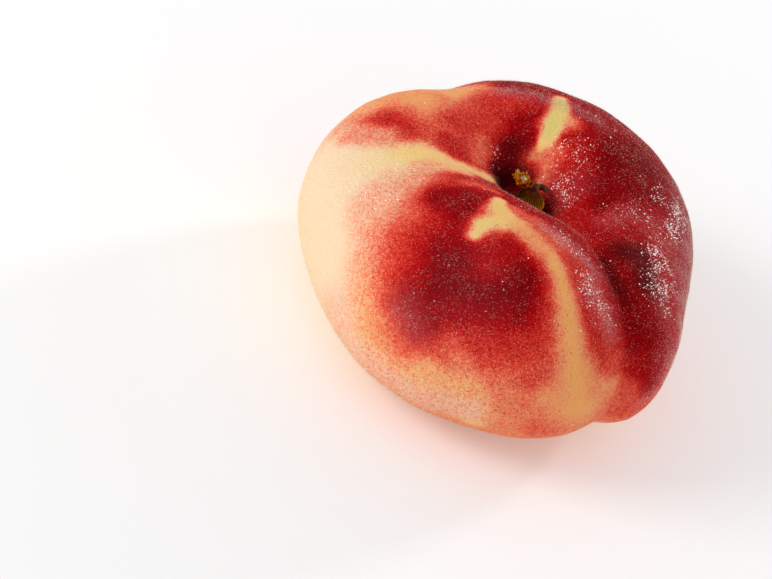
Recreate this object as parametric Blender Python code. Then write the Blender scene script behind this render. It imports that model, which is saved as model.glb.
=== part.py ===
"""A flat peach: the fruit, and the torn stub of its stalk in the hollow on top.

Metres, +Z up. The fruit stands on the flattened ring round the dimple under it, at z = 0, with
the origin under the middle of its outline. Its full cheek faces -Y, and the seam between its
two cheeks runs down the side at SEAM_AZIMUTH.
"""

import math

import bmesh
import bpy
from mathutils import Vector

# The fruit's section. Heights are from the waist, where the fruit is widest.
WAIST_RADIUS = 0.03694
CROWN_HEIGHT = 0.02191
BASE_HEIGHT = 0.01794
SECTION_POWER = 0.80
FLAT_DEPTH = 0.00025

# Swellings of the outline, the crown and the base. Each is (lobes round the fruit, height of a
# lobe, azimuth of the first one in degrees from +X towards +Y).
WAIST_WAVES = (
    (1, 0.00243, -30.5),
    (2, 0.00154, 106.4),
    (3, 0.00139, 63.4),
    (4, 0.00047, 56.4),
    (5, 0.00062, 32.1),
    (6, 0.00017, 25.4),
)
CROWN_WAVES = (
    (1, 0.00033, 15.8),
    (2, 0.00224, 96.4),
    (3, 0.00057, 39.7),
    (4, 0.00038, 50.1),
)
BASE_WAVES = (
    (1, 0.00101, 235.7),
    (2, 0.00102, 136.3),
    (3, 0.00103, 12.5),
)

# The hollow that holds the stalk, widest on one side, with a steep pit at its bottom.
STALK_SHIFT = (0.0025, 0.0003)
FLOOR_HEIGHT = 0.01435
HOLLOW_RADIUS = 0.0092
HOLLOW_WIDEST_RADIUS = 0.0195
HOLLOW_WIDEST_AZIMUTH = 142.0
HOLLOW_WIDEST_POWER = 3
PIT_DEPTH = 0.0042
PIT_RADIUS = 0.0048
PIT_POWER = 4
PIT_TAIL = 0.45
PIT_TAIL_AZIMUTH = 150.0
PIT_TAIL_POWER = 4

# The dimple under the fruit, where the flower was.
DIMPLE_DEPTH = 0.0050
DIMPLE_RADIUS = 0.0120

# The seam, a sharp valley with a full cheek on its left, and the soft groove opposite it.
SEAM_AZIMUTH = -40.0
SEAM_DEPTH = 0.0043
SEAM_LEFT_WIDTH = 0.0112
SEAM_RIGHT_WIDTH = 0.0060
SEAM_POWER = 1.3
SEAM_DEPTH_UNDER = 0.4
GROOVE_AZIMUTH = 134.0
GROOVE_DEPTH = 0.0017
GROOVE_WIDTH = 0.0070
GROOVE_POWER = 2
VALLEY_START = 0.003
VALLEY_EASE = 0.002

# The stalk's stub. Each station is (height, radius, rib height, height of the torn teeth).
STUB_STATIONS = (
    (0.0000, 0.0010, 0.00000, 0.0000),
    (0.0006, 0.0014, 0.00006, 0.0000),
    (0.0016, 0.0018, 0.00012, 0.0000),
    (0.0024, 0.0022, 0.00020, 0.0000),
    (0.0031, 0.0023, 0.00024, 0.0000),
    (0.0037, 0.0018, 0.00016, 0.0000),
    (0.0044, 0.0011, 0.00008, 0.0000),
    (0.0051, 0.0010, 0.00006, 0.0000),
    (0.0058, 0.0012, 0.00008, 0.0000),
    (0.0064, 0.0014, 0.00012, 0.0002),
    (0.0069, 0.0015, 0.00016, 0.0004),
    (0.0066, 0.0010, 0.00010, 0.0002),
)
STUB_RIBS = 12
STUB_TEETH = 5
STUB_TIP_HEIGHT = 0.0064
STUB_LEAN_REACH = 0.0024
STUB_LEAN_POWER = 4.5
STUB_LEAN_AZIMUTH = 180.0
STUB_FOOT_RISE = 0.0007

# How finely the two meshes are divided, and how far the fruit's lines crowd to stalk and seam.
FRUIT_MERIDIANS = 80
FRUIT_RINGS = 46
RING_CROWDING = 1.35
MERIDIAN_CROWDING = 0.35
STUB_SIDES = 24


def waves(azimuth, table):
    """Sum of the cosine waves of a table round the fruit."""
    return sum(
        height * math.cos(count * (azimuth - math.radians(first)))
        for count, height, first in table
    )


def valley(x, y, azimuth, left_width, right_width, power):
    """1 along a line out from the stalk at this azimuth, easing to 0 beside it and near the stalk."""
    direction = math.radians(azimuth)
    along = x * math.cos(direction) + y * math.sin(direction)
    side = y * math.cos(direction) - x * math.sin(direction)
    width = right_width if side > 0 else left_width
    across = math.exp(-((abs(side) / width) ** power))
    return across / (1 + math.exp((VALLEY_START - along) / VALLEY_EASE))


def hollow(radius, azimuth):
    """1 at the stalk, falling to 0 on the crown as a bell whose width depends on the azimuth."""
    facing = (1 + math.cos(azimuth - math.radians(HOLLOW_WIDEST_AZIMUTH))) / 2
    extra = (HOLLOW_WIDEST_RADIUS - HOLLOW_RADIUS) * facing**HOLLOW_WIDEST_POWER
    return math.exp(-((radius / (HOLLOW_RADIUS + extra)) ** 2))


def pit(radius, azimuth):
    """1 over the pit's flat bottom, falling to 0 outside its steep wall, with a tail on one side."""
    tail = max(0.0, math.cos(azimuth - math.radians(PIT_TAIL_AZIMUTH))) ** PIT_TAIL_POWER
    return math.exp(-((radius / (PIT_RADIUS * (1 + PIT_TAIL * tail))) ** PIT_POWER))


def fruit_point(polar, azimuth):
    """The skin at an angle from the stalk and an azimuth.

    It is a superellipsoid about the waist. Its outline, crown and base swell in waves, the top
    blends down to the hollow's floor, and the seam and groove press it in towards its middle.
    """
    out, up = math.sin(polar), math.cos(polar)
    above = up > 0
    radius = (WAIST_RADIUS + waves(azimuth, WAIST_WAVES)) * out**SECTION_POWER
    if above:
        height = CROWN_HEIGHT + waves(azimuth, CROWN_WAVES)
        top = height * up**SECTION_POWER
        z = top + (FLOOR_HEIGHT - top) * hollow(radius, azimuth) * up - PIT_DEPTH * pit(radius, azimuth)
    else:
        height = BASE_HEIGHT + waves(azimuth, BASE_WAVES) * out**2
        dimple = math.exp(-((radius / DIMPLE_RADIUS) ** 2))
        z = DIMPLE_DEPTH * dimple - height * (-up) ** SECTION_POWER
    x, y = radius * math.cos(azimuth), radius * math.sin(azimuth)
    seam = SEAM_DEPTH * valley(x, y, SEAM_AZIMUTH, SEAM_LEFT_WIDTH, SEAM_RIGHT_WIDTH, SEAM_POWER)
    groove = GROOVE_DEPTH * valley(x, y, GROOVE_AZIMUTH, GROOVE_WIDTH, GROOVE_WIDTH, GROOVE_POWER)
    if not above:
        seam *= SEAM_DEPTH_UNDER + (1 - SEAM_DEPTH_UNDER) * out
        groove *= out
    radius -= (seam + groove) * out
    z -= (seam + groove) * up
    shift = up**2 if above else 0.0
    x = radius * math.cos(azimuth) + STALK_SHIFT[0] * shift
    y = radius * math.sin(azimuth) + STALK_SHIFT[1] * shift
    return Vector((x, y, z))


def material(name, colour, roughness):
    """A plain Principled finish."""
    made = bpy.data.materials.new(name)
    made.use_nodes = True
    shader = made.node_tree.nodes["Principled BSDF"]
    shader.inputs["Base Color"].default_value = (*colour, 1)
    shader.inputs["Roughness"].default_value = roughness
    return made


def add_object(name, bm, finish):
    """Turns a bmesh into an object of the scene, shaded smooth."""
    bmesh.ops.recalc_face_normals(bm, faces=bm.faces)
    mesh = bpy.data.meshes.new(name)
    bm.to_mesh(mesh)
    bm.free()
    mesh.shade_smooth()
    mesh.materials.append(finish)
    made = bpy.data.objects.new(name, mesh)
    bpy.context.collection.objects.link(made)
    return made


def make_fruit():
    """A sphere's rings and meridians laid on the skin, closer together at the stalk and the seam."""
    bm = bmesh.new()
    bmesh.ops.create_uvsphere(bm, u_segments=FRUIT_MERIDIANS, v_segments=FRUIT_RINGS, radius=1)
    seam = math.radians(SEAM_AZIMUTH)
    for vertex in bm.verts:
        share = math.acos(max(-1.0, min(1.0, vertex.co.z))) / math.pi
        turn = math.atan2(vertex.co.y, vertex.co.x)
        azimuth = seam + turn - MERIDIAN_CROWDING * math.sin(turn)
        vertex.co = fruit_point(math.pi * share**RING_CROWDING, azimuth)
    return bm


def stand_on_base(bm):
    """Flattens the lowest skin, moves it to z = 0 with its outline centred, and gives the move."""
    level = min(v.co.z for v in bm.verts) + FLAT_DEPTH
    xs = [v.co.x for v in bm.verts]
    ys = [v.co.y for v in bm.verts]
    move = Vector((-(min(xs) + max(xs)) / 2, -(min(ys) + max(ys)) / 2, -level))
    for vertex in bm.verts:
        vertex.co.z = max(vertex.co.z, level)
        vertex.co += move
    return move


def stub_middle(foot, height):
    """The middle of the stub at a height, on an axis that bends over more and more."""
    bend = STUB_LEAN_REACH * (height / STUB_TIP_HEIGHT) ** STUB_LEAN_POWER
    lean = math.radians(STUB_LEAN_AZIMUTH)
    return foot + Vector((bend * math.cos(lean), bend * math.sin(lean), height))


def make_stub(foot):
    """Ribbed rings up the bent stub, with torn teeth round its tip, closed by a fan at each end."""
    bm = bmesh.new()
    rings = []
    for height, radius, rib, tooth in STUB_STATIONS:
        ring = []
        for step in range(STUB_SIDES):
            turn = 2 * math.pi * step / STUB_SIDES
            reach = radius + rib * math.cos(STUB_RIBS * turn)
            rise = tooth * math.cos(STUB_TEETH * turn)
            side = Vector((reach * math.cos(turn), reach * math.sin(turn), rise))
            ring.append(bm.verts.new(stub_middle(foot, height) + side))
        rings.append(ring)
    for lower, upper in zip(rings, rings[1:]):
        for step in range(STUB_SIDES):
            after = (step + 1) % STUB_SIDES
            bm.faces.new((lower[step], lower[after], upper[after], upper[step]))
    for ring, height in ((rings[0], STUB_STATIONS[0][0]), (rings[-1], STUB_TIP_HEIGHT)):
        hub = bm.verts.new(stub_middle(foot, height))
        for step in range(STUB_SIDES):
            bm.faces.new((ring[step], ring[(step + 1) % STUB_SIDES], hub))
    return bm


def main():
    """Builds the two pieces in an empty scene."""
    for old in list(bpy.data.objects):
        bpy.data.objects.remove(old)
    skin = material("peach_skin", (0.52, 0.05, 0.04), 0.55)
    stalk = material("dry_stalk", (0.42, 0.25, 0.05), 0.8)
    fruit_mesh = make_fruit()
    move = stand_on_base(fruit_mesh)
    add_object("fruit", fruit_mesh, skin)
    foot = fruit_point(0.0, 0.0) + move + Vector((0, 0, STUB_FOOT_RISE))
    add_object("stem_stub", make_stub(foot), stalk)


main()
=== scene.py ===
# %% [markdown]
# # A flat peach
# A flat peach is a round stone fruit that looks pressed down, with a stalk hollow on top and a
# dimple underneath. Its imported CAD model gives the sizes in metres, and every new piece here is
# laid in that same place. The model is loaded first.

# %% Load the imported model
import math
from functools import partialmethod

import bpy
import numpy as np
from mathutils import Matrix


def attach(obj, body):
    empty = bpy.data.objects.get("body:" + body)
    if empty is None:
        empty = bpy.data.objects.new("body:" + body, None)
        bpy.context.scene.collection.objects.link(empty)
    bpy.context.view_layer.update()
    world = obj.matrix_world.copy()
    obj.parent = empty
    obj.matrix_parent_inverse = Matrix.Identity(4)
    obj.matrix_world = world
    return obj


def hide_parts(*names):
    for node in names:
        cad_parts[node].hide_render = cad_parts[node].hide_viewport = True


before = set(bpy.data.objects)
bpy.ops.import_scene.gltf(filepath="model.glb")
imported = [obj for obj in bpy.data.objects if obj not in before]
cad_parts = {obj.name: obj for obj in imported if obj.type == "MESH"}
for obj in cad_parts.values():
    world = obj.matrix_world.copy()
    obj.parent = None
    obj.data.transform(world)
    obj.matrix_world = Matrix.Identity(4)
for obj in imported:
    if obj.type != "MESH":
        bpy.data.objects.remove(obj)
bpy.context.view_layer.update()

# %% [markdown]
# ## The form of the fruit
# The CAD solid is coarse, so that physics can use it. The fine skin follows the same formula with
# many more points. The fruit is a squashed ball whose outline, crown and base swell in a few slow
# waves. Its top blends down to a hollow with a steep pit, and a sharp seam runs down one side.
# Writing the form as a formula keeps the fine skin on the CAD solid everywhere.

# %% The fruit's measures, as in the CAD model
WAIST_RADIUS, CROWN_HEIGHT, BASE_HEIGHT = 0.03694, 0.02191, 0.01794
SECTION_POWER = 0.80
FLAT_DEPTH = 0.00025

# Each wave is (lobes round the fruit, height of a lobe, azimuth of the first one in degrees).
WAIST_WAVES = (
    (1, 0.00243, -30.5), (2, 0.00154, 106.4), (3, 0.00139, 63.4),
    (4, 0.00047, 56.4), (5, 0.00062, 32.1), (6, 0.00017, 25.4),
)
CROWN_WAVES = ((1, 0.00033, 15.8), (2, 0.00224, 96.4), (3, 0.00057, 39.7), (4, 0.00038, 50.1))
BASE_WAVES = ((1, 0.00101, 235.7), (2, 0.00102, 136.3), (3, 0.00103, 12.5))

STALK_SHIFT = (0.0025, 0.0003)
FLOOR_HEIGHT = 0.01435
HOLLOW_RADIUS, HOLLOW_WIDEST_RADIUS, HOLLOW_WIDEST_AZIMUTH = 0.0092, 0.0195, 142.0
HOLLOW_WIDEST_POWER = 3
PIT_DEPTH, PIT_RADIUS, PIT_POWER = 0.0042, 0.0048, 4
PIT_TAIL, PIT_TAIL_AZIMUTH, PIT_TAIL_POWER = 0.45, 150.0, 4
DIMPLE_DEPTH, DIMPLE_RADIUS = 0.0050, 0.0120

SEAM_AZIMUTH, SEAM_DEPTH, SEAM_DEPTH_UNDER = -40.0, 0.0043, 0.4
SEAM_LEFT_WIDTH, SEAM_RIGHT_WIDTH, SEAM_POWER = 0.0112, 0.0060, 1.3
GROOVE_AZIMUTH, GROOVE_DEPTH, GROOVE_WIDTH, GROOVE_POWER = 134.0, 0.0017, 0.0070, 2
VALLEY_START, VALLEY_EASE = 0.003, 0.002

CAD_MERIDIANS, CAD_RINGS = 80, 46
RING_CROWDING, MERIDIAN_CROWDING = 1.35, 0.35


# %% The surface as one function of two angles
def waves(azimuth, table):
    """Sum of cosine waves round the fruit."""
    return sum(height * np.cos(count * (azimuth - math.radians(first)))
               for count, height, first in table)


def valley(x, y, azimuth, left_width, right_width, power):
    """1 along a line out from the stalk, falling as a bell to both sides, and 0 near the stalk."""
    direction = math.radians(azimuth)
    along = x * math.cos(direction) + y * math.sin(direction)
    side = y * math.cos(direction) - x * math.sin(direction)
    width = np.where(side > 0, right_width, left_width)
    across = np.exp(-((np.abs(side) / width) ** power))
    return across / (1 + np.exp((VALLEY_START - along) / VALLEY_EASE))


def hollow(radius, azimuth):
    """1 at the stalk, falling to 0 on the crown as a bell that is widest at one azimuth."""
    facing = (1 + np.cos(azimuth - math.radians(HOLLOW_WIDEST_AZIMUTH))) / 2
    extra = (HOLLOW_WIDEST_RADIUS - HOLLOW_RADIUS) * facing**HOLLOW_WIDEST_POWER
    return np.exp(-((radius / (HOLLOW_RADIUS + extra)) ** 2))


def pit(radius, azimuth):
    """1 over the pit's flat bottom and 0 outside its steep wall, with a tail on one side."""
    tail = np.maximum(0, np.cos(azimuth - math.radians(PIT_TAIL_AZIMUTH))) ** PIT_TAIL_POWER
    return np.exp(-((radius / (PIT_RADIUS * (1 + PIT_TAIL * tail))) ** PIT_POWER))


def fruit_form(polar, azimuth):
    """Points of the skin at angles from the stalk and azimuths, in radians.

    A superellipsoid about the waist: radius is sin(polar) and height cos(polar), each to a power
    under 1 and swelling in waves. The top blends down to the hollow's floor, and the seam and
    the groove press it in towards its middle.
    """
    out, up = np.sin(polar), np.cos(polar)
    above = up > 0
    rise = np.abs(up) ** SECTION_POWER
    radius = (WAIST_RADIUS + waves(azimuth, WAIST_WAVES)) * np.abs(out) ** SECTION_POWER
    top = (CROWN_HEIGHT + waves(azimuth, CROWN_WAVES)) * rise
    top = top + (FLOOR_HEIGHT - top) * hollow(radius, azimuth) * up
    top = top - PIT_DEPTH * pit(radius, azimuth)
    base = DIMPLE_DEPTH * np.exp(-((radius / DIMPLE_RADIUS) ** 2))
    base = base - (BASE_HEIGHT + waves(azimuth, BASE_WAVES) * out**2) * rise
    z = np.where(above, top, base)
    x, y = radius * np.cos(azimuth), radius * np.sin(azimuth)
    seam = SEAM_DEPTH * valley(x, y, SEAM_AZIMUTH, SEAM_LEFT_WIDTH, SEAM_RIGHT_WIDTH, SEAM_POWER)
    groove = GROOVE_DEPTH * valley(x, y, GROOVE_AZIMUTH, GROOVE_WIDTH, GROOVE_WIDTH, GROOVE_POWER)
    seam = np.where(above, seam, seam * (SEAM_DEPTH_UNDER + (1 - SEAM_DEPTH_UNDER) * out))
    groove = np.where(above, groove, groove * out)
    radius, z = radius - (seam + groove) * out, z - (seam + groove) * up
    shift = np.where(above, up**2, 0)
    x = radius * np.cos(azimuth) + STALK_SHIFT[0] * shift
    y = radius * np.sin(azimuth) + STALK_SHIFT[1] * shift
    return np.stack([x, y, z], -1)


def steps(rows, columns):
    """A grid's two parameters: a share from 0 to 1 down its rows, and a full turn round them."""
    turn = np.arange(columns) * 2 * np.pi / columns
    return np.meshgrid(np.linspace(0, 1, rows), turn, indexing="ij")


def mesh_angles(rings, columns):
    """Polar angles and azimuths of a grid whose lines crowd to the stalk and to the seam."""
    share, turn = steps(rings + 1, columns)
    azimuth = math.radians(SEAM_AZIMUTH) + turn - MERIDIAN_CROWDING * np.sin(turn)
    return np.pi * share**RING_CROWDING, azimuth


# The move that stands the CAD solid on its flattened ring, with its outline centred.
corners = fruit_form(*mesh_angles(CAD_RINGS, CAD_MERIDIANS)).reshape(-1, 3)
lowest, highest = corners.min(0), corners.max(0)
MOVE = -(lowest + highest) / 2
MOVE[2] = -lowest[2] - FLAT_DEPTH
STALK_POLE, BASE_POLE = fruit_form(0.0, 0.0) + MOVE, fruit_form(np.pi, 0.0) + MOVE
print("moved by", MOVE.round(5), "so the stalk is at", STALK_POLE.round(5))

# %% [markdown]
# ## Helpers for directions and soft noise
# Markings, lumps and fuzz all need the same few tools: a spot on the skin with its own directions,
# an easing from 0 to 1, and a smooth noise. The noise here is a sum of sine waves that run in
# random directions, which numpy works out for all points at once.

# %% Soft noise and places on the skin
def unit(vectors):
    """Vectors scaled to length 1."""
    return vectors / np.linalg.norm(vectors, axis=-1, keepdims=True)


def ease(low, high, value):
    """0 below low and 1 above high, with a smooth S between."""
    share = np.clip((value - low) / (high - low), 0, 1)
    return share * share * (3 - 2 * share)


def ripple(points, wavelength, seed, count=14):
    """Sum of sine waves of about one wavelength in random directions, about -1 to 1."""
    random = np.random.default_rng(seed)
    ways = unit(random.normal(size=(count, 3))).T
    turns = 2 * np.pi / (wavelength * random.uniform(0.7, 1.5, count))
    starts = random.uniform(0, 2 * np.pi, count)
    return np.sin(points @ (ways * turns) + starts).sum(-1) / math.sqrt(count / 2)


def roughen(points, *ripples):
    """Shakes points along each axis in turn by ripples of (height, wavelength, seed)."""
    for way in range(3):
        points[..., way] += sum(height * ripple(points, wavelength, seed + way)
                                for height, wavelength, seed in ripples)


def lobes(turn, table, middle=0.0):
    """A middle value plus cosine lobes round a turn, each of (height, count, start)."""
    return sum((height * np.cos(count * turn + start) for height, count, start in table), middle)


def skin_frame(azimuth, polar):
    """A spot on the skin, and the directions east, down the fruit and outwards there."""
    step = 1e-3
    azimuth, polar = math.radians(azimuth), math.radians(polar)
    spot = fruit_form(polar, azimuth)
    down = unit(fruit_form(polar + step, azimuth) - spot)
    east = fruit_form(polar, azimuth + step) - spot
    east = unit(east - down * (east @ down))
    return spot + MOVE, east, down, np.cross(down, east)


# %% [markdown]
# ## The fine skin
# The skin is one closed sheet. Rings of points run from the stalk to the dimple, and each ring is
# joined to the next with quads. A fan closes each end, so no hole is left at the two poles. Real
# skin isn't as smooth as a formula, so it gets a relief of a few hundredths of a millimetre. In
# the pit the flesh rises in a low collar to the foot of the stalk, which grows out of it.

# %% Put a numpy surface into a mesh
def put(name, data):
    """An object in the scene that shows this data."""
    thing = bpy.data.objects.new(name, data)
    bpy.context.collection.objects.link(thing)
    return thing


def make_piece(name, points, *face_sets):
    """A mesh object at the origin from points and sets of faces that have equal corners each."""
    corners = np.concatenate([faces.ravel() for faces in face_sets])
    sizes = np.concatenate([np.full(len(faces), faces.shape[1]) for faces in face_sets])
    mesh = bpy.data.meshes.new(name)
    mesh.vertices.add(len(points))
    mesh.vertices.foreach_set("co", points.astype(np.float32).ravel())
    mesh.loops.add(len(corners))
    mesh.loops.foreach_set("vertex_index", corners.astype(np.int32))
    mesh.polygons.add(len(sizes))
    mesh.polygons.foreach_set("loop_start", (np.cumsum(sizes) - sizes).astype(np.int32))
    mesh.update(calc_edges=True)
    mesh.validate()
    mesh.shade_smooth()
    print(name, "has", int((sizes - 2).sum()), "triangles")
    return put(name, mesh)


def make_tube(name, grid, ends=None):
    """A closed sheet of rings that run down, each counterclockwise from above.

    Quads join each ring to the next, and a fan of triangles joins each end's ring to a hub.
    """
    rows, columns = grid.shape[:2]
    ends = (grid[0].mean(0), grid[-1].mean(0)) if ends is None else ends
    first, column = np.meshgrid(np.arange(rows - 1) * columns, np.arange(columns), indexing="ij")
    upper, upper_after = first + column, first + (column + 1) % columns
    quads = np.stack([upper, upper + columns, upper_after + columns, upper_after], -1)
    hub = np.full(columns, rows * columns)
    top_fan = np.stack([hub, upper[0], upper_after[0]], -1)
    base_fan = np.stack([hub + 1, upper_after[-1] + columns, upper[-1] + columns], -1)
    points = np.concatenate([grid.reshape(-1, 3), ends])
    return make_piece(name, points, quads.reshape(-1, 4), top_fan, base_fan)


def set_value(piece, name, values):
    """Keeps a number for each point of a mesh, for its material to read."""
    attribute = piece.data.attributes.new(name, "FLOAT", "POINT")
    attribute.data.foreach_set("value", values.astype(np.float32).ravel())


# %% Lay the skin
SKIN_RINGS, SKIN_COLUMNS = 300, 290
# Each ripple of the relief is (height, wavelength, seed).
RELIEF = ((0.00005, 0.0090, 11), (0.000022, 0.0032, 12), (0.000010, 0.0014, 13))
RELIEF_MIDDLE = np.array([0, 0, CROWN_HEIGHT * 0.8])
COLLAR_HEIGHT, COLLAR_RADIUS, COLLAR_POWER, COLLAR_LAST_POLAR = 0.00078, 0.0016, 4, 1.0


def skin_points(polar, azimuth):
    """The form with its relief: sums of sine waves, added outwards from the fruit's middle.

    The collar is a bell with a flat top round the stalk.
    """
    points = fruit_form(polar, azimuth) + MOVE
    off_stalk = np.linalg.norm(points[..., :2] - STALK_POLE[:2], axis=-1)
    collar = COLLAR_HEIGHT * np.exp(-((off_stalk / COLLAR_RADIUS) ** COLLAR_POWER))
    points[..., 2] += collar * (polar < COLLAR_LAST_POLAR)
    away = unit(points - RELIEF_MIDDLE)
    relief = sum(height * ripple(points, wavelength, seed) for height, wavelength, seed in RELIEF)
    points = points + away * relief[..., None]
    points[..., 2] = np.maximum(points[..., 2], 0)
    return points


skin_polar, skin_azimuth = mesh_angles(SKIN_RINGS, SKIN_COLUMNS)
skin_grid = skin_points(skin_polar, skin_azimuth)
skin = make_tube("fruit_skin", skin_grid[1:-1], (skin_grid[0, 0], skin_grid[-1, 0]))

# %% [markdown]
# ## Where the colours lie
# A peach ripens from cream or yellow to orange, and the side in the sun turns red and then almost
# black. Shade from leaves and twigs leaves pale patches and streaks. These marks are large and
# soft, so each one is placed one by one on the real surface: a patch has an azimuth, an angle from
# the stalk and a size in millimetres, and a streak runs from knot to knot. Each layer of marks
# becomes one number per point, and the material turns the numbers to colour and breaks up their
# edges. Nothing repeats, and the marks bend with the fruit.

# %% Patches and streaks
MM = 0.001


def patch(points, place, softness):
    """1 inside an ellipsoid that is centred on the skin, easing to 0 round its edge."""
    azimuth, polar, wide, tall = place
    spot, east, down, out = skin_frame(azimuth, polar)
    offset = (points - spot) / MM
    reach = (offset @ east / wide) ** 2 + (offset @ down / tall) ** 2
    reach = np.sqrt(reach + (offset @ out / max(wide, tall)) ** 2)
    return 1 - ease(1 - softness, 1 + softness, reach)


def streak(points, knots, softness):
    """1 along a bent line, easing to 0 at its half width, which changes from knot to knot."""
    reach = np.full(points.shape[:-1], np.inf)
    spots = [(skin_frame(azimuth, polar)[0], half) for azimuth, polar, half in knots]
    for (start, half), (end, next_half) in zip(spots, spots[1:]):
        run = end - start
        share = np.clip((points - start) @ run / (run @ run), 0, 1)
        width = (half + (next_half - half) * share) * MM
        gap = np.linalg.norm(points - start - share[..., None] * run, axis=-1)
        reach = np.minimum(reach, gap / width)
    return 1 - ease(1 - softness, 1 + softness, reach)


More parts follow.
